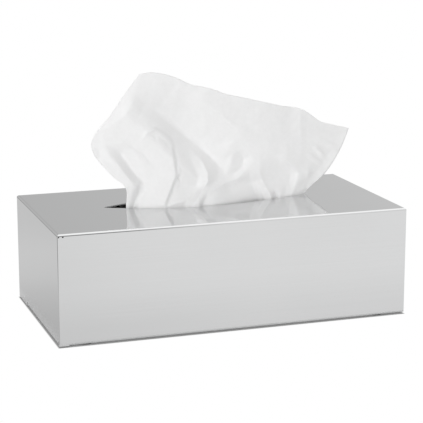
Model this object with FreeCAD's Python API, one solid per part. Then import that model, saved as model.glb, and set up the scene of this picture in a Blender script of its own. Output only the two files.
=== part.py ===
import FreeCAD, Part
import math
import os

from FreeCAD import Vector

# A tissue box holder: a polished stainless cover folded from one sheet, with a lens-shaped slot in
# its top, a bottom plate that slides out over the cover's turned-in ledges, four thin pads, a pack
# of interfolded tissues, and the first tissue drawn up through the slot.
# Millimetres. The origin is on the surface that the pads stand on, under the middle of the cover.
# +X runs to the right end, where the plate slides out, +Y to the back and +Z up.

# Cover
LENGTH = 260.0
WIDTH = 135.0
HEIGHT = 80.0
SHEET = 1.0
BEND_INSIDE = 0.8
LEDGE = 12.0
END_TAB = 6.0
END_TAB_LENGTH = 101.6
TAB_FROM_FRONT_BEND = 1.6
RELIEF_SLIT = 1.0
SLIT_ABOVE_BEND = 0.9
SEAM_ROUNDING = 0.4

# The pits that the welds leave of the relief cuts, at the left end's two top corners: how far from
# the end each one starts and stops, and where they lie in the bend
PIT_SPANS = [(0.5, 1.4), (3.4, 4.5)]
PIT_HEIGHT = 0.8
PIT_BELOW_TOP = 1.5

# Slot
SLOT_LENGTH = 160.0
SLOT_WIDTH = 39.5
SLOT_TOWARDS_BACK = 5.0
SLOT_TIP_ROUNDING = 1.6
SLOT_EDGE_CHAMFER = 0.2

# Bottom plate
PLATE_SHEET = 1.0
PLATE_CLEARANCE = 0.3
PULL_LIP = 9.0
THUMB_NOTCH_RADIUS = 9.0

# Pads
PAD_THICKNESS = 1.0
PAD_RADIUS = 4.5
PAD_FROM_END = 20.0

# Pack of tissues
STACK_END_ROOM = 26.5
STACK_SIDE_ROOM = 14.0
STACK_HEADROOM = 15.0
STACK_CLEARANCE = 0.3
FOLDS_IN_STACK = 16
FOLD_RIDGE = 0.9

# Raised tissue. Its outline is given as seen square from the front: the two side edges from the
# ends of the waist, where the slot gathers the sheet, and the top edge as its rise above the
# straight line between the two top corners.
TISSUE_THICKNESS = 0.4
TISSUE_CLEARANCE = 0.35
WAIST_FROM_LEFT_TIP = 17.0
WAIST_FROM_RIGHT_TIP = 3.0
LEFT_EDGE = [
    (0, 0), (-1, 15), (-11, 25), (-18, 33), (-24, 42), (-25, 49), (-23, 54), (-11, 68), (12, 97),
]
RIGHT_EDGE = [(0, 0), (8, 6), (19, 15), (28, 26), (36, 36), (42, 46)]
TOP_EDGE_RISE = [
    (0, 0), (0.05, 3.2), (0.11, 4.6), (0.18, 4.2), (0.24, 2.4), (0.35, 2.8), (0.46, 2.4),
    (0.56, 3.2), (0.76, 5.4), (0.83, 2.4), (0.91, 0), (1, 0),
]

# Folds of the raised tissue: how far each reaches to its left and right, then its line from the
# top down as (x, height above the cover, swell), where the swell is how far the sheet stands
# forward along the line. A short reach makes that flank steep. Where a line runs level from left
# to right, it reaches down and up instead.
FOLDS = [
    (24, 34, [(-60, 89, -2), (-48, 78, -4.5), (-34, 66, -8), (-23, 57, -10), (-4, 41, -10),
              (4, 33, -8.5), (15, 18, -3)]),
    (14, 9, [(-62, 72, 0.5), (-44, 56, 3), (-29, 44, 1.5)]),
    (9, 9, [(-78, 58, 0.5), (-62, 67, 1), (-56, 72, 0.5)]),
    (9, 7, [(-77, 43, 0.5), (-67, 31, 2.2), (-56, 16, 2.2), (-58, 9, 1.2), (-62, -2, 0.6)]),
    (7, 12, [(-68, 44, -1), (-58, 28, -2.4), (-51, 18, -2.4), (-53, 11, -1.8), (-58, -3, -1.6)]),
    (16, 5, [(-27, 43, 0.4), (-26, 21, 2), (-31, 12, 1.8), (-37, -2, 1)]),
    (5, 10, [(-24, 42, -0.4), (-23, 20, -2), (-28, 12, -1.4), (-34, -2, -0.2)]),
    (10, 8, [(-6, 39, -0.8), (-13, 28, -2.4), (-14, 18, -2.8), (-20, 9, -2), (-27, 2, -0.8)]),
    (9, 7, [(-10, 38, 0.3), (-4, 29, 1.8), (0, 21, 2.8), (-1, 16, 2.8), (-8, 10, 2.4), (-16, 2, 1.4)]),
    (6, 6, [(-3, 10, -0.3), (-6, 5, -1.6), (-10, -3, -2.4)]),
    (8, 7, [(-4, 6, 1), (6, 10, 2.2), (17, 14, 2.8), (26, 17, 2.2), (31, 21, 0.8)]),
    (12, 16, [(-1, 1, -1), (11, 0, -4.5), (26, 0, -5.5), (40, 1, -3.6), (45, 5, -0.8)]),
    (9, 7, [(5, 36, 0.3), (13, 36, 0.9), (23, 37, 1), (30, 31, 0.7)]),
    (7, 6, [(31, 31, -0.4), (30, 25, -1.2), (26, 20, -1.6), (18, 17, -1.4)]),
    (12, 7, [(41, 43, 0.3), (42, 30, 1.4), (40, 20, 2), (42, 12, 2.4), (49, -4, 1.6)]),
    (6, 6, [(50, 7, -0.6), (53, -4, -2.6)]),
    (11, 7, [(54, 32, 0.5), (63, 25, 1.8), (73, 14, 2.8), (70, 7, 2.4), (60, -5, 1.6)]),
    (7, 7, [(81, 64, 0.2), (77, 59, 0.6), (78, 46, 0.6), (77, 37, 0.1)]),
]

# How the sheet stands: just behind the slot's front edge at the waist, and above it freed from
# the edge's curve, leaning back less and less, and turned back towards its right corner
BEHIND_EDGE = 1.2
LOOSE_BEHIND_EDGE = 4.3
LOOSE_ABOVE_WAIST = 20.0
FREE_DEPTH = -9.0
FREED_SHARE = 0.88
LEAN_BACK = 0.22
UPRIGHT_ABOVE = 75.0
TURN_BACK = 0.05
CORNER_TURN = 0.12
CORNER_CREASE = 76.0
STRAIGHT_ABOVE_WAIST = 4.5
OPENING_SLOPE = 1.1
EASING = 0.5
FACETS_ACROSS = 64
FACETS_UP = 28

BEND_OUTSIDE = BEND_INSIDE + SHEET
HALF_LENGTH = LENGTH / 2
HALF_WIDTH = WIDTH / 2
PLATE_BOTTOM = PAD_THICKNESS + SHEET + PLATE_CLEARANCE
PLATE_TOP = PLATE_BOTTOM + PLATE_SHEET
LIP_TOP = PLATE_TOP + PULL_LIP
MOUTH_TOP = LIP_TOP + PLATE_CLEARANCE
TAB_FRONT = BEND_OUTSIDE + TAB_FROM_FRONT_BEND - HALF_WIDTH
TAB_BACK = TAB_FRONT + END_TAB_LENGTH
SLIT_TOP = PAD_THICKNESS + BEND_OUTSIDE + SLIT_ABOVE_BEND
STACK_BOTTOM = PLATE_TOP + STACK_CLEARANCE
STACK_TOP = HEIGHT - SHEET - STACK_HEADROOM


def rounded_path(corners, radius):
    """Edges along a chain of points, with each right-angled corner between them rounded."""
    edges = []
    start = corners[0]
    for before, corner, after in zip(corners, corners[1:], corners[2:]):
        back = (before - corner).normalize()
        ahead = (after - corner).normalize()
        centre = corner + (back + ahead) * radius
        middle = centre - (back + ahead).normalize() * radius
        edges.append(Part.LineSegment(start, corner + back * radius).toShape())
        edges.append(Part.Arc(corner + back * radius, middle, corner + ahead * radius).toShape())
        start = corner + ahead * radius
    edges.append(Part.LineSegment(start, corners[-1]).toShape())
    return edges


def bent_sheet(outer, inner, along, sheet):
    """A bent sheet: the corners of its outer and inner face, pushed out along a vector."""
    outline = rounded_path(outer, BEND_INSIDE + sheet)
    outline += rounded_path(inner, BEND_INSIDE)
    outline.append(Part.LineSegment(outer[0], inner[0]).toShape())
    outline.append(Part.LineSegment(outer[-1], inner[-1]).toShape())
    wire = Part.Wire(Part.__sortEdges__(outline))
    return Part.Face(wire).extrude(along)


def block(low, high):
    """A block between two opposite corners."""
    return Part.makeBox(high.x - low.x, high.y - low.y, high.z - low.z, low)


def top_and_long_walls():
    """Ledge, front wall, top, back wall and ledge, bent from one strip as long as the cover."""
    def corners(inset, tip):
        wall = HALF_WIDTH - inset
        low = PAD_THICKNESS + inset
        high = HEIGHT - inset
        path = [(-tip, low), (-wall, low), (-wall, high), (wall, high), (wall, low), (tip, low)]
        return [Vector(-HALF_LENGTH, y, z) for y, z in path]

    tip = HALF_WIDTH - LEDGE
    return bent_sheet(corners(0, tip), corners(SHEET, tip), Vector(LENGTH, 0, 0), SHEET)


def left_foot_opening():
    """What is cut from the ledges at the left end so that the end's own tab can turn in."""
    tab_end = RELIEF_SLIT + END_TAB - HALF_LENGTH
    low = Vector(-HALF_LENGTH, -HALF_WIDTH, PAD_THICKNESS)
    return block(low, Vector(tab_end, HALF_WIDTH, PAD_THICKNESS + BEND_OUTSIDE))


def wall_feet():
    """The straight foot of the front and back walls beside the left end's tab."""
    feet = []
    for y in (-HALF_WIDTH, HALF_WIDTH - SHEET):
        low = Vector(-HALF_LENGTH, y, PAD_THICKNESS)
        high = Vector(RELIEF_SLIT + END_TAB - HALF_LENGTH, y + SHEET, PAD_THICKNESS + BEND_OUTSIDE)
        feet.append(block(low, high))
    return feet


def end_wall(side, foot):
    """One end wall with its bend into the top, down to its foot."""
    def corners(inset):
        path = [(HALF_LENGTH - 2 * BEND_OUTSIDE, HEIGHT - inset)]
        path += [(HALF_LENGTH - inset, HEIGHT - inset), (HALF_LENGTH - inset, foot)]
        return [Vector(side * x, -HALF_WIDTH, z) for x, z in path]

    return bent_sheet(corners(0), corners(SHEET), Vector(0, WIDTH, 0), SHEET)


def left_end_tab():
    """The tab turned in from the left end wall, between its two relief slits."""
    def corners(inset):
        path = [(inset - HALF_LENGTH, SLIT_TOP), (inset - HALF_LENGTH, PAD_THICKNESS + inset)]
        path.append((END_TAB - HALF_LENGTH, PAD_THICKNESS + inset))
        return [Vector(x, TAB_FRONT, z) for x, z in path]

    return bent_sheet(corners(0), corners(SHEET), Vector(0, END_TAB_LENGTH, 0), SHEET)


def left_end():
    """The left end wall, with its foot opened and turned in as the tab."""
    low = Vector(-HALF_LENGTH, TAB_FRONT - RELIEF_SLIT, PAD_THICKNESS)
    high = Vector(SHEET - HALF_LENGTH, TAB_BACK + RELIEF_SLIT, SLIT_TOP)
    return end_wall(-1, PAD_THICKNESS).cut(block(low, high)).fuse(left_end_tab())


def right_end():
    """The right end wall, which stops above the plate's pull lip and has a thumb notch."""
    centre = Vector(HALF_LENGTH - SHEET, 0, MOUTH_TOP)
    notch = Part.makeCylinder(THUMB_NOTCH_RADIUS, SHEET, centre, Vector(1, 0, 0))
    return end_wall(1, MOUTH_TOP).cut(notch)


def slot_half_width(x):
    """Half the slot's width at a distance from its middle."""
    half_length = SLOT_LENGTH / 2
    half_width = SLOT_WIDTH / 2
    radius = (half_length ** 2 + half_width ** 2) / (2 * half_width)
    return math.sqrt(max(radius ** 2 - x ** 2, 0)) - (radius - half_width)


def slot_cutter():
    """The lens between two arcs, with its tips just rounded, as deep as the sheet."""
    left = Vector(-SLOT_LENGTH / 2, SLOT_TOWARDS_BACK, HEIGHT - SHEET)
    right = Vector(SLOT_LENGTH / 2, SLOT_TOWARDS_BACK, HEIGHT - SHEET)
    front = Vector(0, SLOT_TOWARDS_BACK - SLOT_WIDTH / 2, HEIGHT - SHEET)
    back = Vector(0, SLOT_TOWARDS_BACK + SLOT_WIDTH / 2, HEIGHT - SHEET)
    arcs = [Part.Arc(left, front, right).toShape(), Part.Arc(right, back, left).toShape()]
    lens = Part.Face(Part.Wire(arcs)).extrude(Vector(0, 0, SHEET))
    tips = [edge for edge in lens.Edges if edge.BoundBox.ZLength > SHEET / 2]
    return lens.makeFillet(SLOT_TIP_ROUNDING, tips)


def outer_form():
    """All that the cover's outer faces enclose, with its top bends and welded corners rounded."""
    box = Part.makeBox(LENGTH, WIDTH, HEIGHT, Vector(-HALF_LENGTH, -HALF_WIDTH, 0))
    long_edges = [edge for edge in box.Edges if edge.BoundBox.ZMin > 0 and edge.Length == LENGTH]
    end_edges = [edge for edge in box.Edges if edge.BoundBox.ZMin > 0 and edge.Length == WIDTH]
    seams = [edge for edge in box.Edges if edge.BoundBox.ZLength > HEIGHT / 2]
    form = box.makeFillet(BEND_OUTSIDE, long_edges)
    form = form.common(box.makeFillet(BEND_OUTSIDE, end_edges))
    return form.common(box.makeFillet(SEAM_ROUNDING, seams))


def relief_pits():
    """The pits in the two long bends, near their left ends."""
    pits = []
    for start, stop in PIT_SPANS:
        for front in (-HALF_WIDTH, HALF_WIDTH - BEND_OUTSIDE):
            low = Vector(start - HALF_LENGTH, front, HEIGHT - PIT_BELOW_TOP - PIT_HEIGHT)
            high = Vector(stop - HALF_LENGTH, front + BEND_OUTSIDE, HEIGHT - PIT_BELOW_TOP)
            pits.append(block(low, high))
    return pits


def is_slot_rim(edge):
    """Whether an edge runs round the slot on the cover's outer face."""
    box = edge.BoundBox
    on_top = box.ZMin > HEIGHT - 0.01
    in_slot = max(abs(box.XMin), abs(box.XMax)) < SLOT_LENGTH / 2 + 0.01
    return on_top and in_slot


def make_cover():
    """The whole folded and welded cover."""
    body = top_and_long_walls().cut(left_foot_opening())
    body = body.fuse(wall_feet() + [left_end(), right_end()]).common(outer_form())
    body = body.cut(relief_pits() + [slot_cutter()]).removeSplitter()
    rim = [edge for edge in body.Edges if is_slot_rim(edge)]
    return body.makeChamfer(SLOT_EDGE_CHAMFER, rim)


def make_base_plate():
    """The bottom plate, lying on the ledges, with its pull lip turned up flush with the end."""
    half_width = HALF_WIDTH - BEND_OUTSIDE - PLATE_CLEARANCE
    left = BEND_OUTSIDE + PLATE_CLEARANCE - HALF_LENGTH

    def corners(inset):
        path = [(left, PLATE_BOTTOM + inset), (HALF_LENGTH - inset, PLATE_BOTTOM + inset)]
        path.append((HALF_LENGTH - inset, LIP_TOP))
        return [Vector(x, -half_width, z) for x, z in path]

    along = Vector(0, 2 * half_width, 0)
    return bent_sheet(corners(0), corners(PLATE_SHEET), along, PLATE_SHEET)


def make_pad(side_x, side_y):
    """One stick-on pad under the flat of a ledge."""
    x = side_x * (HALF_LENGTH - PAD_FROM_END)
    y = side_y * (HALF_WIDTH - (BEND_OUTSIDE + LEDGE) / 2)
    return Part.makeCylinder(PAD_RADIUS, PAD_THICKNESS, Vector(x, y, 0))


def make_tissue_stack():
    """The pack of interfolded tissues, with a ridge along both sides for each folded edge."""
    half_length = HALF_LENGTH - SHEET - STACK_END_ROOM
    half_width = HALF_WIDTH - SHEET - STACK_SIDE_ROOM
    valley = half_width - FOLD_RIDGE
    step = (STACK_TOP - STACK_BOTTOM) / FOLDS_IN_STACK
    front = [Vector(-half_length, -valley, STACK_BOTTOM)]
    for fold in range(FOLDS_IN_STACK):
        low = STACK_BOTTOM + fold * step
        front.append(Vector(-half_length, -half_width, low + step / 2))
        front.append(Vector(-half_length, -valley, low + step))
    back = [Vector(point.x, -point.y, point.z) for point in reversed(front)]
    outline = Part.makePolygon(front + back + [front[0]])
    return Part.Face(outline).extrude(Vector(2 * half_length, 0, 0))


def smooth_line(points):
    """A smooth curve through points given as (across, up)."""
    curve = Part.BSplineCurve()
    curve.interpolate([Vector(across, 0, up) for across, up in points])
    return curve


def point_along(curve, share):
    """The point at a share of a curve's parameter range."""
    first = curve.FirstParameter
    return curve.value(first + share * (curve.LastParameter - first))


def tissue_outline():
    """The left, right and top edge of the raised tissue, as curves seen square from the front."""
    left_end_x = WAIST_FROM_LEFT_TIP - SLOT_LENGTH / 2
    right_end_x = SLOT_LENGTH / 2 - WAIST_FROM_RIGHT_TIP
    foot = STACK_TOP + TISSUE_CLEARANCE
    left = [(left_end_x, foot)] + [(left_end_x + x, HEIGHT + z) for x, z in LEFT_EDGE]
    right = [(right_end_x, foot)] + [(right_end_x + x, HEIGHT + z) for x, z in RIGHT_EDGE]
    run = right[-1][0] - left[-1][0]
    drop = right[-1][1] - left[-1][1]
    top = [(left[-1][0] + share * run, left[-1][1] + share * drop + rise)
           for share, rise in TOP_EDGE_RISE]
    return smooth_line(left), smooth_line(right), smooth_line(top)


def fold_swell(x, up, left_reach, right_reach, line):
    """How far one fold swells towards the front at a point of the sheet."""
    point = Vector(x, 0, up)
    nearest = 0
    weights = 0
    weighted_swell = 0
    for start, end in zip(line, line[1:]):
        first = Vector(start[0], 0, start[1])
        run = Vector(end[0], 0, end[1]) - first
        share = min(max((point - first).dot(run) / run.dot(run), 0), 1)
        away = point - first - run * share
        rightness = (run.x * away.z - run.z * away.x) / max(run.Length * away.Length, 1e-6)
        reach = left_reach + (right_reach - left_reach) * (1 + rightness) / 2
        nearness = max(1 - away.Length / reach, 0)
        nearest = max(nearest, nearness)
        weights += nearness ** 6
        weighted_swell += nearness ** 6 * (start[2] + share * (end[2] - start[2]))
    if weights == 0:
        return 0
    return weighted_swell / weights * nearest ** 2 * (3 - 2 * nearest)


def eased_maximum(first, second):
    """The larger of two lengths, with the step from one to the other rounded."""
    return (first + second + math.hypot(first - second, EASING)) / 2


def tissue_depth(x, z):
    """Where the sheet lies from front to back at a point seen square from the front."""
    up = max(z - HEIGHT, 0)
    share = min(up / LOOSE_ABOVE_WAIST, 1)
    loose = share ** 2 * (3 - 2 * share)
    room = slot_half_width(min(abs(x), SLOT_LENGTH / 2 - WAIST_FROM_RIGHT_TIP))
    edge = SLOT_TOWARDS_BACK - room
    base = edge + (FREE_DEPTH - edge) * FREED_SHARE * loose
    base += BEHIND_EDGE + (LOOSE_BEHIND_EDGE - BEHIND_EDGE) * loose
    lean = LEAN_BACK * up * (1 - up / (2 * UPRIGHT_ABOVE))
    turn = (TURN_BACK * x + CORNER_TURN * max(x - CORNER_CREASE, 0)) * loose
    swell = sum(fold_swell(x, z - HEIGHT, *fold) for fold in FOLDS)
    reach = room - TISSUE_THICKNESS / 2 - TISSUE_CLEARANCE
    reach += OPENING_SLOPE * max(up - STRAIGHT_ABOVE_WAIST, 0)
    depth = eased_maximum(base + lean + turn - swell - SLOT_TOWARDS_BACK, -reach)
    return SLOT_TOWARDS_BACK - eased_maximum(-depth, -reach)


def tissue_grid():
    """Points of the sheet, in rows from the pack up to the top edge."""
    left, right, top = tissue_outline()
    foot_left = point_along(left, 0)
    foot_right = point_along(right, 0)
    top_left = point_along(top, 0)
    top_right = point_along(top, 1)
    rows = []
    for j in range(FACETS_UP + 1):
        v = j / FACETS_UP
        row = []
        for i in range(FACETS_ACROSS + 1):
            u = i / FACETS_ACROSS
            foot = foot_left * (1 - u) + foot_right * u
            sides = point_along(left, v) * (1 - u) + point_along(right, v) * u
            ends = foot * (1 - v) + point_along(top, u) * v
            corners = foot * (1 - v) + (top_left * (1 - u) + top_right * u) * v
            flat = sides + ends - corners
            row.append(Vector(flat.x, tissue_depth(flat.x, flat.z), flat.z))
        rows.append(row)
    return rows


def shifted(rows, offset):
    """The same grid, moved along the sheet's own normal."""
    moved = []
    for j, row in enumerate(rows):
        moved_row = []
        for i, point in enumerate(row):
            across = row[min(i + 1, FACETS_ACROSS)] - row[max(i - 1, 0)]
            up = rows[min(j + 1, FACETS_UP)][i] - rows[max(j - 1, 0)][i]
            moved_row.append(point + across.cross(up).normalize() * offset)
        moved.append(moved_row)
    return moved


def facets_between(lower, upper):
    """Two flat facets, split along the shorter diagonal, for each step between two rows."""
    facets = []
    for a, b, c, d in zip(lower, lower[1:], upper[1:], upper):
        if a.distanceToPoint(c) > b.distanceToPoint(d):
            a, b, c, d = b, c, d, a
        facets.append(Part.Face(Part.makePolygon([a, b, c, a])))
        facets.append(Part.Face(Part.makePolygon([a, c, d, a])))
    return facets


def make_raised_tissue():
    """The tissue drawn up through the slot, from the top of the pack to its free edge."""
    rows = tissue_grid()
    front = shifted(rows, TISSUE_THICKNESS / 2)
    back = shifted(rows, -TISSUE_THICKNESS / 2)
    facets = []
    for side in (front, back):
        for lower, upper in zip(side, side[1:]):
            facets += facets_between(lower, upper)
    for near, far in ((front[0], back[0]), (front[-1], back[-1])):
        facets += facets_between(near, far)
    for end in (0, -1):
        facets += facets_between([row[end] for row in front], [row[end] for row in back])
    shell = Part.makeShell(facets)
    shell.sewShape()
    solid = Part.makeSolid(shell)
    if solid.Volume < 0:
        solid.reverse()
    return solid


def main():
    """Write one STEP file for each piece."""
    os.makedirs("parts", exist_ok=True)
    pieces = {
        "cover": make_cover(),
        "base_plate": make_base_plate(),
        "tissue_stack": make_tissue_stack(),
        "raised_tissue": make_raised_tissue(),
    }
    for end, side_x in (("left", -1), ("right", 1)):
        for face, side_y in (("front", -1), ("back", 1)):
            pieces["foot_" + face + "_" + end] = make_pad(side_x, side_y)
    for name, shape in pieces.items():
        shape.exportStep("parts/" + name + ".step")
        box = shape.BoundBox
        print(name, shape.isValid(), len(shape.Solids), round(shape.Volume, 1),
              [round(v, 2) for v in (box.XMin, box.YMin, box.ZMin, box.XMax, box.YMax, box.ZMax)])


main()
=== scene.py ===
import math

import bmesh
import bpy
import numpy as np
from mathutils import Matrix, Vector, noise


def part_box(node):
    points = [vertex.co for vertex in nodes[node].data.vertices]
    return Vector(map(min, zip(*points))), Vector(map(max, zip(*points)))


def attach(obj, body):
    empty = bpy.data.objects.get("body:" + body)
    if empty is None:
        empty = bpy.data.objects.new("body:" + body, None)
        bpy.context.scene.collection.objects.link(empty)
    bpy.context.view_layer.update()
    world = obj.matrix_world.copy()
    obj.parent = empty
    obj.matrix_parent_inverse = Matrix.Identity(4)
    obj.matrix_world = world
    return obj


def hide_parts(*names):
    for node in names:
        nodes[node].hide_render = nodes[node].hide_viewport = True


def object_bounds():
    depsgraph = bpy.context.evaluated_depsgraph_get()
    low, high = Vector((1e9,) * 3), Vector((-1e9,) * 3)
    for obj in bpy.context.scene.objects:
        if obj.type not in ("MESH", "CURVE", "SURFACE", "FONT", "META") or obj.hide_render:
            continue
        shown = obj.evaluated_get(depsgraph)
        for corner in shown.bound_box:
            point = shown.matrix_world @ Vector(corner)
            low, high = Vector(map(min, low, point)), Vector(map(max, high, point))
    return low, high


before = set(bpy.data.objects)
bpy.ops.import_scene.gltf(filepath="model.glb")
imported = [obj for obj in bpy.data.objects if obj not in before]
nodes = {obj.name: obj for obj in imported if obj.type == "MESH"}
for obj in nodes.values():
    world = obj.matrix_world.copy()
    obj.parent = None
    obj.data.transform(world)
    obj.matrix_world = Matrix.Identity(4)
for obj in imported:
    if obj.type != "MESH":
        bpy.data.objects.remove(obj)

cad_box = [list(corner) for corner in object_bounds()]
mm = 0.001


# ---------------------------------------------------------------------------------------------
# Cover. One sheet of bright stainless steel, 1 mm thick, bent down on four sides, welded up its
# corners and polished. The rolling of the sheet leaves a faint grain along its length, and the
# polishing leaves it nearly a mirror.
# ---------------------------------------------------------------------------------------------

class Wire:
    """A socket of a node tree. An expression on wires adds the Math nodes that work it out."""

    def __init__(self, tree, socket=None):
        self.tree = tree
        self.socket = socket

    def add(self, kind, settings, values, output=0):
        """Any node: its settings are set first, then the values or wires of its sockets."""
        node = self.tree.nodes.new(kind)
        for name, value in settings.items():
            setattr(node, name, value)
        for name, value in values.items():
            if isinstance(value, Wire):
                self.tree.links.new(value.socket, node.inputs[name])
            else:
                node.inputs[name].default_value = value
        return Wire(self.tree, node.outputs[output]) if node.outputs else None

    def maths(self, operation, *values):
        return self.add("ShaderNodeMath", {"operation": operation}, dict(enumerate(values)))

    def __add__(self, other):
        return self.maths("ADD", self, other)

    def __sub__(self, other):
        return self.maths("SUBTRACT", self, other)

    def __rsub__(self, other):
        return self.maths("SUBTRACT", other, self)

    def __mul__(self, other):
        return self.maths("MULTIPLY", self, other)

    def __abs__(self):
        return self.maths("ABSOLUTE", self)

    __radd__ = __add__
    __rmul__ = __mul__

    def root(self):
        return self.maths("SQRT", self)

    def at_least(self, other):
        return self.maths("MAXIMUM", self, other)

    def eased(self, start, end):
        """0 below start, 1 above end, and a smooth rise between them."""
        limits = {"Value": self, "From Min": start, "From Max": end}
        return self.add("ShaderNodeMapRange", {"interpolation_type": "SMOOTHSTEP"}, limits)

    def xyz(self):
        """The three parts of a vector."""
        first_part = self.add("ShaderNodeSeparateXYZ", {}, {"Vector": self})
        return [Wire(self.tree, output) for output in first_part.socket.node.outputs]


def grey(level):
    return (level, level, level, 1)


def new_material(name):
    """An empty node material, and the wire that its nodes are added from."""
    material = bpy.data.materials.new(name)
    material.use_nodes = True
    material.node_tree.nodes.clear()
    return material, Wire(material.node_tree)


def colour_between(start, first, second, share):
    """A colour between two others. A Mix node has its colours at 6 and 7 and gives its own at 2."""
    values = {0: share, 6: first, 7: second}
    return start.add("ShaderNodeMix", {"data_type": "RGBA"}, values, output=2)


def show(start, shader):
    """Leads a shader to the material's output."""
    start.add("ShaderNodeOutputMaterial", {}, {"Surface": shader})


def object_place(start):
    """Where a point is on the holder, in metres."""
    return start.add("ShaderNodeTexCoord", {}, {}, output="Object")


def stretched_noise(start, place, per_metre, detail):
    """Noise with so many spots to the metre along x, y and z, few where it is drawn out."""
    drawn_out = start.add("ShaderNodeMapping", {}, {"Vector": place, "Scale": per_metre})
    return start.add("ShaderNodeTexNoise", {}, {"Vector": drawn_out, "Scale": 1, "Detail": detail})


def even_noise(start, place, per_metre, detail):
    """Noise with as many spots to the metre each way."""
    return stretched_noise(start, place, (per_metre, per_metre, per_metre), detail)


streaks_along = 9
streaks_across = 1300
clouds_per_metre = (14, 22, 22)
streak_share = 0.5


def add_steel(name, dark, bright, smoothest, roughest, grain_depth):
    """Sheet steel with its rolling grain along the length, also round the two ends."""
    material, start = new_material(name)
    place = object_place(start)
    grain = stretched_noise(start, place, (streaks_along, streaks_across, streaks_across), 3)
    end_grain = stretched_noise(start, place, (streaks_across, streaks_along, streaks_across), 3)
    facing = start.add("ShaderNodeNewGeometry", {}, {}, output="Normal").xyz()
    on_end = abs(facing[0]).eased(0.6, 0.8)
    streaks = grain * (1 - on_end) + end_grain * on_end
    clouds = stretched_noise(start, place, clouds_per_metre, 2)
    tone = streaks * streak_share + clouds * (1 - streak_share)
    bump_values = {"Strength": 1, "Distance": grain_depth, "Height": streaks}
    bump = start.add("ShaderNodeBump", {}, bump_values)
    values = {
        "Base Color": colour_between(start, dark, bright, tone),
        "Metallic": 1,
        "Roughness": smoothest + (roughest - smoothest) * clouds,
        "Normal": bump,
    }
    show(start, start.add("ShaderNodeBsdfPrincipled", {}, values))
    return material


polished_steel = add_steel(
    "polished_steel",
    dark=(0.665, 0.668, 0.67, 1),
    bright=(0.72, 0.723, 0.725, 1),
    smoothest=0.03,
    roughest=0.07,
    grain_depth=0.0015 * mm,
)
nodes["cover"].material_slots[0].material = polished_steel


# ---------------------------------------------------------------------------------------------
# Bottom plate. The same 1 mm steel, left with the mill's dull finish because it is only seen when
# the holder is turned over or filled. It slides out lengthwise over the cover's ledges.
# ---------------------------------------------------------------------------------------------

mill_steel = add_steel(
    "mill_steel",
    dark=(0.5, 0.502, 0.505, 1),
    bright=(0.64, 0.643, 0.645, 1),
    smoothest=0.24,
    roughest=0.38,
    grain_depth=0.006 * mm,
)
nodes["base_plate"].material_slots[0].material = mill_steel


# ---------------------------------------------------------------------------------------------
# Pads. Four round pads punched from 1 mm black rubber sheet, stuck under the ledges so that the
# holder doesn't scratch or slip.
# ---------------------------------------------------------------------------------------------

pebbles_per_metre = 2500
pebble_depth = 0.03 * mm
dust_per_metre = 300


def add_rubber():
    """Matt black rubber with the fine pebble of the sheet that it is punched from."""
    material, start = new_material("black_rubber")
    place = object_place(start)
    pebble = even_noise(start, place, pebbles_per_metre, 2)
    dust = even_noise(start, place, dust_per_metre, 3)
    colour = colour_between(start, grey(0.05), grey(0.09), dust)
    bump = start.add("ShaderNodeBump", {}, {"Distance": pebble_depth, "Height": pebble})
    values = {"Base Color": colour, "Roughness": 0.65 + 0.2 * dust, "Normal": bump}
    show(start, start.add("ShaderNodeBsdfPrincipled", {}, values))
    return material


black_rubber = add_rubber()
for name in ("foot_front_left", "foot_front_right", "foot_back_left", "foot_back_right"):
    nodes[name].material_slots[0].material = black_rubber


# ---------------------------------------------------------------------------------------------
# Pack of tissues. About 150 two-ply sheets, each folded once and laid in its neighbour's fold, so
# both long sides show soft folded edges and both ends show the cut leaves.
# ---------------------------------------------------------------------------------------------

folded_edges = 44
edge_depth = 0.7 * mm
edge_wander = 0.4 * mm
wander_step = 0.9
pack_slack = 0.3 * mm
fibres_per_metre = 420
crepe_depth = 0.08 * mm
crepe_share = 0.6


def shader_between(start, first, second, share):
    """A shader between two others, which a Mix Shader node has at 1 and 2."""
    return start.add("ShaderNodeMixShader", {}, {0: share, 1: first, 2: second})


def add_paper(name, crepe_across, crepe_up, through):
    """Soft white tissue paper with the fine creping of its two plies. Some light comes through."""
    material, start = new_material(name)
    place = object_place(start)
    crepe = stretched_noise(start, place, (crepe_across, crepe_across, crepe_up), 3)
    fibres = even_noise(start, place, fibres_per_metre, 4)
    colour = colour_between(start, grey(0.88), grey(0.94), fibres)
    height = crepe * crepe_share + fibres * (1 - crepe_share)
    bump_values = {"Strength": 0.35, "Distance": crepe_depth, "Height": height}
    bump = start.add("ShaderNodeBump", {}, bump_values)
    values = {"Base Color": colour, "Roughness": 0.92, "Specular IOR Level": 0.15, "Normal": bump}
    paper = start.add("ShaderNodeBsdfPrincipled", {}, values)
    glow = start.add("ShaderNodeBsdfTranslucent", {}, {"Color": grey(0.92), "Normal": bump})
    show(start, shader_between(start, paper, glow, through))
    return material


def add_piece(name, mesh_builder, material, body):
    """A new object from a finished bmesh, riding on a body and in a colour slot."""
    mesh = bpy.data.meshes.new(name)
    mesh_builder.to_mesh(mesh)
    mesh_builder.free()
    mesh.materials.append(material)
    piece = bpy.data.objects.new(name, mesh)
    bpy.context.scene.collection.objects.link(piece)
    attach(piece, body)
    return piece


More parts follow.
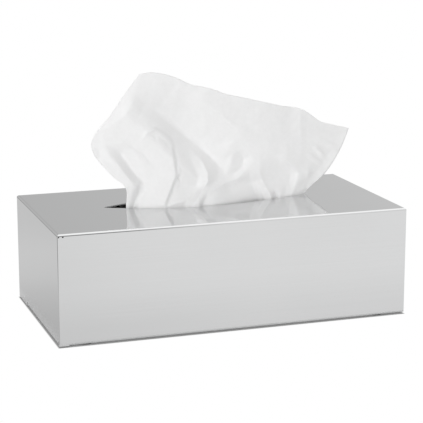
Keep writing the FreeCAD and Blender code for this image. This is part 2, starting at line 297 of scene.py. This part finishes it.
def build_pack():
    """The same zigzag outline at the pack's two ends, joined face by face."""
    low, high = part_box("tissue_stack")
    low += Vector((pack_slack, 0, pack_slack))
    high -= Vector((pack_slack, 0, pack_slack))
    step = (high.z - low.z) / (2 * folded_edges)
    bm = bmesh.new()
    side = []
    for i in range(2 * folded_edges + 1):
        wander = edge_wander * noise.noise(Vector((0, 0, i * wander_step)))
        out = high.y - (edge_depth if i % 2 == 0 else 0) - abs(wander)
        side.append((out, low.z + i * step))
    outline = [(-y, z) for y, z in side] + [(y, z) for y, z in reversed(side)]
    left_ring = [bm.verts.new((low.x, y, z)) for y, z in outline]
    right_ring = [bm.verts.new((high.x, y, z)) for y, z in outline]
    bm.faces.new(left_ring)
    bm.faces.new(right_ring)
    for k in range(len(outline)):
        bm.faces.new((left_ring[k - 1], left_ring[k], right_ring[k], right_ring[k - 1]))
    bmesh.ops.recalc_face_normals(bm, faces=bm.faces)
    return bm


pack_paper = add_paper("pack_paper", crepe_across=900, crepe_up=2600, through=0.1)
pack = add_piece("tissue_pack", build_pack(), pack_paper, "holder")
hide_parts("tissue_stack")


# ---------------------------------------------------------------------------------------------
# Raised tissue. The first sheet of the pack, drawn up through the slot, which gathers its lower
# half into pleats. Above them it opens like a fan to its full width, leans back a little and
# keeps the soft creases of the pull.
# ---------------------------------------------------------------------------------------------

slot_length = 160 * mm
slot_width = 39.5 * mm
slot_centre = 5 * mm
cover_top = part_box("cover")[1].z
tissue_thickness = 0.22 * mm
slot_gap = 0.7 * mm
cells_across = 250
cells_up = 140

# Inside the slot the sheet stands close behind its front edge. Above the slot it comes loose
# from it, spreads along a line in front of the slot's middle and leans back.
behind_edge = 1.2 * mm
loose_height = 17 * mm
fan_line = -9 * mm
fan_share = 0.88
fan_set_back = 3.1 * mm
lean = 0.22
lean_height = 115 * mm
lean_rightwards = 0.05
corner_start = 74 * mm
corner_lean = 0.09
right_tip_start = 35 * mm
right_tip_run = 30 * mm
right_tip_set_back = 1.5 * mm
flare = 1.1
flare_start = 1.5 * mm
rounded_over = 0.5 * mm

# The folds swell towards one point in front of the holder. All points of the sheet are given in
# the plane that they swell from, in millimetres, as (across, up).
swells_towards = Vector((-0.35, -1.047, 0.323))

left_edge = [(-62, 62), (-63, 80), (-63, 94), (-73, 104), (-81, 113), (-87, 122), (-88.3, 129)]
left_edge += [(-86, 134), (-74, 148), (-63, 163), (-52, 177)]
right_edge = [(74, 65), (75, 78.5), (81.5, 85.5), (92.8, 94.6), (102, 106.5), (108, 117.5)]
right_edge += [(112.5, 129)]
top_edge = [(-52, 177), (-44, 178), (-33, 176.3), (-21, 172), (-14, 168.3), (-6, 166.3), (6, 163)]
top_edge += [(13, 160), (25, 157), (41, 153), (57, 149), (75, 145), (82, 140.5), (88, 136)]
top_edge += [(101, 132), (112.5, 129)]

# Each fold: how far it reaches to its left and right, or below and above where it runs level, and
# its line from the top down or from left to right, as (across, up, swell).
folds = [
    # The long valley from the upper left corner down to the middle, and the round swell below it
    (18, 27, [(-57, 162, -0.3), (-52, 159, -1.4), (-45, 154, -3.8), (-38, 149, -6.4),
              (-32, 144, -8.3), (-27, 139, -9.5), (-18, 131, -10.4), (-8, 123, -10),
              (1, 115, -8.5), (8, 108, -6), (14, 99, -3)]),
    (16, 14, [(-62, 150, 0.3), (-54, 142, 1.4), (-46, 134, 2), (-38, 128, 1.8), (-32, 122, 1)]),
    # Left lobe: its rolled edge, a dent in its tip, a soft ridge across it and a small curl with
    # a hollow under it
    (9, 8, [(-78, 138, 0.4), (-68, 144, 1), (-62, 149, 1.5), (-58, 155, 1.5), (-56, 161, 0.6)]),
    (4, 4, [(-88, 127, -0.7), (-83, 124, -0.9), (-81, 118, -0.3)]),
    (4, 5, [(-77, 129, 0.2), (-66, 127, 0.6), (-56, 121, 0.6), (-49, 112, 0.2)]),
    (2.4, 2.6, [(-50, 130, 0.2), (-46, 134.5, 1), (-41, 136, 1.3), (-36, 133, 1.2),
                (-31, 129, 1.2), (-27, 123, 0.4)]),
    (2, 2, [(-43.5, 132.5, -0.4), (-40.5, 131, -0.9), (-39.5, 128, -0.3)]),
    # The pleat that runs down the left lobe into the slot: its left ridge lies over the valley
    (9, 5, [(-79, 124, 0.4), (-74, 118, 1.5), (-67.5, 110, 2.2), (-60.5, 101, 2.4),
            (-55, 95, 2.2), (-57.5, 88, 1.7), (-62.5, 78, 1.4), (-63, 66, 1.2)]),
    (6, 12, [(-70, 124, -1.1), (-66, 119, -2.4), (-58.5, 108, -2.7), (-51, 98, -2.4),
             (-53, 91, -1.8)]),
    (5.5, 4, [(-53, 91, -1), (-56, 84, -2.4), (-57.5, 77, -3.4), (-58, 66, -3)]),
    # The front panel: a faint hollow across its top, its right edge, which lies over the next
    # pleat, and the small roll at that pleat's foot
    (4, 8, [(-64, 125.5, -0.2), (-57, 123.8, -1), (-50, 120, -1.2), (-44.5, 112.5, -0.4)]),
    (16, 1.8, [(-28, 123, 0.4), (-26, 111, 1.8), (-25, 100, 2.8), (-29, 91, 2.6),
               (-32.8, 82, 2), (-34, 76, 1.6)]),
    (1.8, 3, [(-26.4, 123, -0.2), (-24.4, 111, -0.8), (-23.4, 100, -1), (-27.4, 91, -0.8),
              (-31.2, 82, -0.4), (-32.4, 76, -0.2)]),
    (2, 2.5, [(-31, 79, 0.3), (-25, 80.5, 0.8), (-19, 81.5, 0.8), (-13, 81.5, 0.3)]),
    # The middle pleat, with the hollow on its left and the deep gap on its right
    (13, 8, [(-15, 117, -0.6), (-11, 108, -1.2), (-8, 99, -1.7), (-9, 91, -2.3),
             (-14, 84, -3.2), (-19, 77, -3)]),
    (6, 8, [(-13, 120, 0.2), (-5, 111, 0.6), (0, 101, 1.6), (0, 95, 2.2), (-5, 87, 2.6),
            (-10, 79, 2.6), (-11, 70, 1.6)]),
    (3, 8, [(2, 90, -0.2), (-1, 84, -1.4), (-4, 79, -2.4), (-5, 72, -2.8)]),
    # The hem that rises to the right, the panel that falls back below it, and above it the pocket
    # with its rim and the ridge on its left
    (8, 5, [(-2, 83, 0.6), (2, 86.5, 1.6), (7, 89.8, 2.3), (13, 92.8, 2.5), (23, 96, 1.9),
            (29, 100.5, 1), (33, 106, 0.3)]),
    (12, 27, [(2, 72, -1), (11, 73, -3.5), (20, 74, -7), (30, 75, -10.5), (40, 76, -12.5),
              (45, 78, -6)]),
    (9, 6, [(2, 118, 0.2), (11, 117.5, 0.5), (22, 118, 0.6), (29, 112, 0.4)]),
    (9, 7, [(24, 117, -1.2), (28.3, 110.5, -3.2), (26.3, 104.5, -2.6), (20.5, 100, -1.4),
            (14.5, 97, -0.6)]),
    (4, 4, [(20.5, 115, 0.3), (17.5, 107, 0.7), (15, 99, 0.4)]),
    # Two more pleats on the right and the notch between them
    (8, 14, [(42, 124, 0.2), (41, 110, 1), (41, 98, 1.8), (44, 90.5, 2.6), (48.5, 83, 2.6),
             (50, 74, 2)]),
    (2.5, 3.5, [(52.5, 84.5, -0.4), (53.5, 81, -2.6), (53, 75, -4)]),
    (6, 24, [(54, 111, 0.9), (61, 106.8, 2), (66.7, 102.6, 2.6), (71.5, 97.2, 2.9),
             (70.5, 91, 2.7), (67, 81, 2.2), (65, 74, 1.7)]),
    # The lip along the right edge, which curls a little to the front, and the fold at its foot
    (14, 6, [(75, 76, 1), (78, 82, 1.8), (86, 88.5, 2.2), (95, 98, 2), (102, 108, 1.4),
             (107, 117, 0.5)]),
    (8, 13, [(83, 107, 0.2), (80.5, 97, 1.5), (79, 91, 2.1), (77.5, 86, 1.7), (76, 81, 0.5)]),
    # Crisp creases on the pleats
    (1.2, 1.6, [(-13, 120, 0.1), (-5, 111, 0.25), (0, 101, 0.45), (-0.5, 95, 0.5),
                (-6, 87, 0.5), (-10.5, 78.5, 0.3)]),
    (1.2, 1.6, [(41.5, 97, 0.2), (44.4, 90.5, 0.5), (48.5, 83.5, 0.6), (50.5, 78, 0.4)]),
    (2, 12, [(56, 110.5, 0.2), (62, 106.5, 0.5), (67.5, 102.5, 0.6), (72.3, 97.2, 0.6),
             (71.3, 91, 0.5), (67.8, 80, 0.3)]),
    # Short crinkles towards the right corner
    (1.5, 3, [(73, 147, 0.1), (72.6, 140, 0.2), (73, 128, 0.1)]),
    (3, 3, [(84, 122, 0.1), (89, 121.5, 0.4), (94, 119, 0.1)]),
    (3, 3.5, [(82, 119.5, 0.1), (86, 115.5, 0.7), (90.5, 110.5, 0.9), (96, 104, 0.1)]),
    (2.5, 3, [(78, 112, 0.1), (83, 108, 0.6), (88, 104.5, 0.5), (92, 102, 0.1)]),
    (2, 2.5, [(75, 99, 0.1), (79, 98, 0.5), (84, 96, 0.1)]),
    (4, 3, [(93, 119, 0.1), (99, 116, 0.7), (104, 114, 0.1)]),
]
fold_sharpness = 1.35
crease_rounding = 0.06
stretch_blend = 6

# The small unevenness of thin paper: the size and depth of its waves in millimetres, and a seed.
unevenness = [(26, 0.9, 3), (11, 0.35, 11), (5, 0.12, 23)]


def smooth_through(points, share):
    """A smooth curve through points, at shares of its length."""
    points = np.array(points) * mm
    steps = np.linalg.norm(np.diff(points, axis=0), axis=1)
    knots = np.concatenate(([0], np.cumsum(steps))) / steps.sum()
    slopes = np.gradient(points, knots, axis=0)
    i = np.clip(np.searchsorted(knots, share, side="right") - 1, 0, len(knots) - 2)
    width = (knots[i + 1] - knots[i])[..., None]
    t = (share[..., None] - knots[i][..., None]) / width
    start = (1 + 2 * t) * (1 - t) ** 2 * points[i] + t * (1 - t) ** 2 * width * slopes[i]
    end = t ** 2 * (3 - 2 * t) * points[i + 1] + t ** 2 * (t - 1) * width * slopes[i + 1]
    return start + end


def fold_swell(across, up, left_reach, right_reach, line):
    """How far one fold swells at each point of the sheet, blended from its straight stretches."""
    # The two tiny numbers keep the divisions clear of 0 off the fold and on its line.
    line = np.array(line) * mm
    nearest = np.zeros_like(across)
    weights = np.full_like(across, 1e-12)
    weighted = np.zeros_like(across)
    for (x0, z0, swell0), (x1, z1, swell1) in zip(line, line[1:]):
        run = math.hypot(x1 - x0, z1 - z0)
        share = ((across - x0) * (x1 - x0) + (up - z0) * (z1 - z0)) / run ** 2
        share = np.clip(share, 0, 1)
        away_x = across - x0 - share * (x1 - x0)
        away_z = up - z0 - share * (z1 - z0)
        away = np.hypot(away_x, away_z) + 1e-9
        rightness = ((x1 - x0) * away_z - (z1 - z0) * away_x) / (run * away)
        reach = (left_reach + (right_reach - left_reach) * (1 + rightness) / 2) * mm
        rounding = crease_rounding * reach
        near = np.maximum(1 - (np.hypot(away, rounding) - rounding) / reach, 0)
        nearest = np.maximum(nearest, near)
        weights += near ** stretch_blend
        weighted += near ** stretch_blend * (swell0 + share * (swell1 - swell0))
    return weighted / weights * nearest ** fold_sharpness


def slot_front(across):
    """Where the slot's curved front edge lies, front to back, at each place across."""
    half_length = slot_length / 2
    across = np.clip(across, -half_length, half_length)
    radius = (half_length ** 2 + (slot_width / 2) ** 2) / slot_width
    return slot_centre + radius - slot_width / 2 - np.sqrt(radius ** 2 - across ** 2)


def eased_maximum(first, second):
    """The larger of two depths, with the step from one to the other rounded."""
    return (first + second + np.hypot(first - second, rounded_over)) / 2


def crumple(across, up):
    """How far the paper's unevenness lifts each point of the sheet."""
    relief = np.zeros_like(across)
    for size, depth, seed in unevenness:
        flat = [noise.noise(Vector((x / (size * mm), z / (size * mm), seed)))
                for x, z in zip(across.ravel(), up.ravel())]
        relief += np.array(flat).reshape(across.shape) * depth * mm
    return relief


def flat_sheet_points():
    """The sheet as it lies in the plane, row by row, filled in evenly between its four edges."""
    u, v = np.meshgrid(np.linspace(0, 1, cells_across + 1), np.linspace(0, 1, cells_up + 1))
    left = smooth_through(left_edge, v)
    right = smooth_through(right_edge, v)
    top = smooth_through(top_edge, u)
    foot = left[:1, :1] * (1 - u[..., None]) + right[:1, :1] * u[..., None]
    corners = foot * (1 - v[..., None])
    corners += (top[-1:, :1] * (1 - u[..., None]) + top[-1:, -1:] * u[..., None]) * v[..., None]
    flat = left * (1 - u[..., None]) + right * u[..., None]
    flat += foot * (1 - v[..., None]) + top * v[..., None] - corners
    return flat[..., 0], flat[..., 1]


def sheet_points():
    """The whole folded sheet, row by row from the pack up to the top edge."""
    across, up = flat_sheet_points()
    swell = sum(fold_swell(across, up, *fold) for fold in folds) + crumple(across, up)

    # The slot's front edge is found again where a point comes to when it swells forward to it.
    # The waist is about where the sheet passes the cover's top, in the plane.
    edge = slot_front(across)
    edge = slot_front(across + (swells_towards.x - across) * edge / swells_towards.y)
    waist = cover_top - (swells_towards.z - cover_top) * edge / swells_towards.y
    above = np.maximum(up - waist, 0)
    loose = np.clip(above / loose_height, 0, 1)
    loose = loose ** 2 * (3 - 2 * loose)
    back = lean * above * (1 - above / lean_height) + lean_rightwards * across * loose
    back += corner_lean * np.maximum(across - corner_start, 0) * loose
    to_right_tip = np.clip((across - right_tip_start) / right_tip_run, 0, 1)
    spread = edge + (fan_line - edge) * fan_share * loose + right_tip_set_back * to_right_tip ** 2
    depth = spread + behind_edge + fan_set_back * loose + back - swell

    # The slot's two edges hold the sheet between them and let go of it higher up.
    reach = slot_centre - edge - slot_gap + flare * np.maximum(above - flare_start, 0)
    depth = eased_maximum(depth - slot_centre, -reach)
    depth = slot_centre - eased_maximum(-depth, -reach)
    forward = depth / swells_towards.y
    return np.stack([
        across + (swells_towards.x - across) * forward,
        depth,
        up + (swells_towards.z - up) * forward,
    ], axis=-1)


def build_sheet():
    """A grid of small squares, laid on the sheet's points and eased a little."""
    points = sheet_points()
    bm = bmesh.new()
    bm.loops.layers.uv.new("sheet")
    bmesh.ops.create_grid(bm, x_segments=cells_across, y_segments=cells_up, size=0.5, calc_uvs=True)
    for vert in bm.verts:
        i = round((vert.co.x + 0.5) * cells_across)
        j = round((vert.co.y + 0.5) * cells_up)
        vert.co = points[j, i]
    for face in bm.faces:
        face.smooth = True
    inner = [v for v in bm.verts if not v.is_boundary]
    every_axis = {"use_axis_x": True, "use_axis_y": True, "use_axis_z": True}
    bmesh.ops.smooth_vert(bm, verts=inner, factor=0.5, **every_axis)
    return bm


tissue_paper = add_paper("raised_tissue_paper", crepe_across=700, crepe_up=2400, through=0.3)
tissue = add_piece("drawn_tissue", build_sheet(), tissue_paper, "holder")
plies = tissue.modifiers.new("two_plies", "SOLIDIFY")
plies.thickness = tissue_thickness
plies.offset = 0
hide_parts("raised_tissue")


# ---------------------------------------------------------------------------------------------
# Floor. A white table top, seen as plain white paper round the holder. The holder's shadow lies
# in the thin gap under its edges, deepened there by painted shade. In the steel the table mirrors
# as a glow with painted shade: a little darker near the holder, as a painted shadow, and to its
# left and behind it.
# ---------------------------------------------------------------------------------------------

floor_reach = 6
table_white = 0.86
# Painted shade: the table's colour is this much darker where it is seen directly.
painted_gap_shade = 0.4
mirrored_white = 0.97

# How much painted shade the table has where it is mirrored: a painted shadow near the holder, and
# darker to its left and behind. Past the left end it is darker still close to the holder and
# towards the front.
near_shade = 0.08
left_half_shade = 0.08
left_end_shade = 0.15
left_end_close_shade = 0.03
left_end_front_shade = 0.08
far_left_shade = 0.35
behind_shade = 0.07


def add_floor_white():
    """Lit in the gap under the holder, where its colour carries painted shade for what sees it
    directly.
    Beyond it a white glow, which carries painted shade for what mirrors it.
    """
    material, start = new_material("white_table")
    place = object_place(start).xyz()
    out_x = (abs(place[0]) - cad_box[1][0]).at_least(0)
    out_y = (abs(place[1]) - cad_box[1][1]).at_least(0)
    away = (out_x * out_x + out_y * out_y).root()
    leftwards = 0 - place[0]
    near = 1 - away.eased(0.0, 0.16)
    close = 1 - away.eased(0.0, 0.07)
    on_left_half = leftwards.eased(-0.05, 0.14)
    past_left_end = leftwards.eased(0.124, 0.138)
    far_left = leftwards.eased(0.22, 0.34)
    in_front = 1 - place[1].eased(-0.02, 0.11)
    behind = place[1].eased(0.1, 0.35)
    left_end = left_end_shade + left_end_close_shade * close + left_end_front_shade * in_front
    # Painted shade: the table as the steel mirrors it glows darker near the holder, to its left and
    # behind it.
    painted_mirror_level = mirrored_white - near_shade * near - left_half_shade * on_left_half
    painted_mirror_level = painted_mirror_level - past_left_end * left_end
    painted_mirror_level = painted_mirror_level - behind_shade * behind - far_left_shade * far_left

    seen = start.add("ShaderNodeLightPath", {}, {}, output="Is Camera Ray")
    mirrored = start.add("ShaderNodeLightPath", {}, {}, output="Is Glossy Ray")
    through = start.add("ShaderNodeLightPath", {}, {}, output="Is Transmission Ray")
    level = seen + (1 - seen) * painted_mirror_level
    # Painted shade: the table's colour is darker where it is seen directly. This deepens the real
    # shadow in the gap under the holder.
    lit = start.add("ShaderNodeBsdfDiffuse", {}, {"Color": table_white - painted_gap_shade * seen})
    white_glow = start.add("ShaderNodeEmission", {}, {"Color": level, "Strength": 1})
    glow_where_seen = seen.at_least(through) * away.eased(-0.0002, 0.0012)
    glow_where_mirrored = mirrored * away.eased(-0.005, 0.012)
    show(start, shader_between(start, lit, white_glow, glow_where_seen + glow_where_mirrored))
    return material


table = bmesh.new()
bmesh.ops.create_grid(table, x_segments=1, y_segments=1, size=floor_reach)
table_mesh = bpy.data.meshes.new("table_top")
table.to_mesh(table_mesh)
table.free()
table_mesh.materials.append(add_floor_white())
table_top = bpy.data.objects.new("table_top", table_mesh)
bpy.context.scene.collection.objects.link(table_top)


# ---------------------------------------------------------------------------------------------
# Room and lamps. A pale grey studio with one tall bright panel, which stands in front to the
# right and runs on overhead. Two soft square lamps stand low: a key lamp at the left and a
# stronger one in front.
# ---------------------------------------------------------------------------------------------

# Brightness of the walls and the ceiling, and what is added or taken away in each place. The panel
# is brighter than the wall to its left and than the ceiling, and ends towards the right. The back
# wall dips in its middle and brightens to the right.
front_wall = 0.36
panel_in_front = 0.5
past_panel = 0.4
ceiling = 0.6
panel_overhead = 0.7
back_wall = 0.62
back_dip = 0.14
back_rise = 0.26

lamp_size = 0.8
lamps_aim = Vector((0, 0, 0.08))


def light_room():
    """Grey walls and ceiling, the bright panel, and plain white where the room is seen directly."""
    world = bpy.data.worlds.new("studio")
    world.use_nodes = True
    world.node_tree.nodes.clear()
    start = Wire(world.node_tree)
    way = start.add("ShaderNodeTexCoord", {}, {}, output="Generated").xyz()
    seen = start.add("ShaderNodeLightPath", {}, {}, output="Is Camera Ray")
    right_of_panel = way[0].eased(0.46, 0.58)
    front = front_wall + panel_in_front * way[0].eased(0.24, 0.34) - past_panel * right_of_panel
    back = back_wall + back_rise * way[0].eased(-0.1, 0.7) - back_dip * way[0].eased(-0.3, 0.15)
    walls = front + (back - front) * way[1].eased(-0.3, 0.3)
    overhead = ceiling + panel_overhead * way[0].eased(0.1, 0.2) - panel_overhead * right_of_panel
    upwards = way[2].eased(0.5, 0.85)
    level = walls * (1 - upwards) + overhead * upwards
    level = seen + (1 - seen) * level
    background = start.add("ShaderNodeBackground", {}, {"Color": grey(1), "Strength": level})
    start.add("ShaderNodeOutputWorld", {}, {"Surface": background})
    bpy.context.scene.world = world


def add_lamp(name, place, power):
    """A square soft lamp that faces the holder."""
    lamp = bpy.data.lights.new(name, "AREA")
    lamp.size = lamp_size
    lamp.energy = power
    stand = bpy.data.objects.new(name, lamp)
    stand.location = place
    stand.rotation_euler = (lamps_aim - Vector(place)).to_track_quat("-Z", "Y").to_euler()
    bpy.context.scene.collection.objects.link(stand)


light_room()
add_lamp("key_lamp", place=(-1.7, -0.95, 0.42), power=8)
add_lamp("front_lamp", place=(-0.5, -1.9, 0.42), power=18)


# ---------------------------------------------------------------------------------------------
# Camera. It stands a little left of the front and a little above the top, 1.13 m away, and its
# long lens keeps the holder's edges nearly parallel.
# ---------------------------------------------------------------------------------------------

azimuth = math.radians(-18.64)
elevation = math.radians(12.82)
distance = 1.133
target = Vector((2.8 * mm, 0, 72.1 * mm))
back = Vector((
    math.sin(azimuth) * math.cos(elevation),
    -math.cos(azimuth) * math.cos(elevation),
    math.sin(elevation),
))
lens = bpy.data.cameras.new("camera")
lens.lens = 129.6
lens.sensor_width = 36
lens.clip_start = 0.05
lens.clip_end = 60
camera = bpy.data.objects.new("camera", lens)
camera.location = target + back * distance
camera.rotation_euler = (-back).to_track_quat("-Z", "Y").to_euler()
bpy.context.scene.collection.objects.link(camera)
bpy.context.scene.camera = camera
bpy.context.scene.view_settings.view_transform = "Standard"
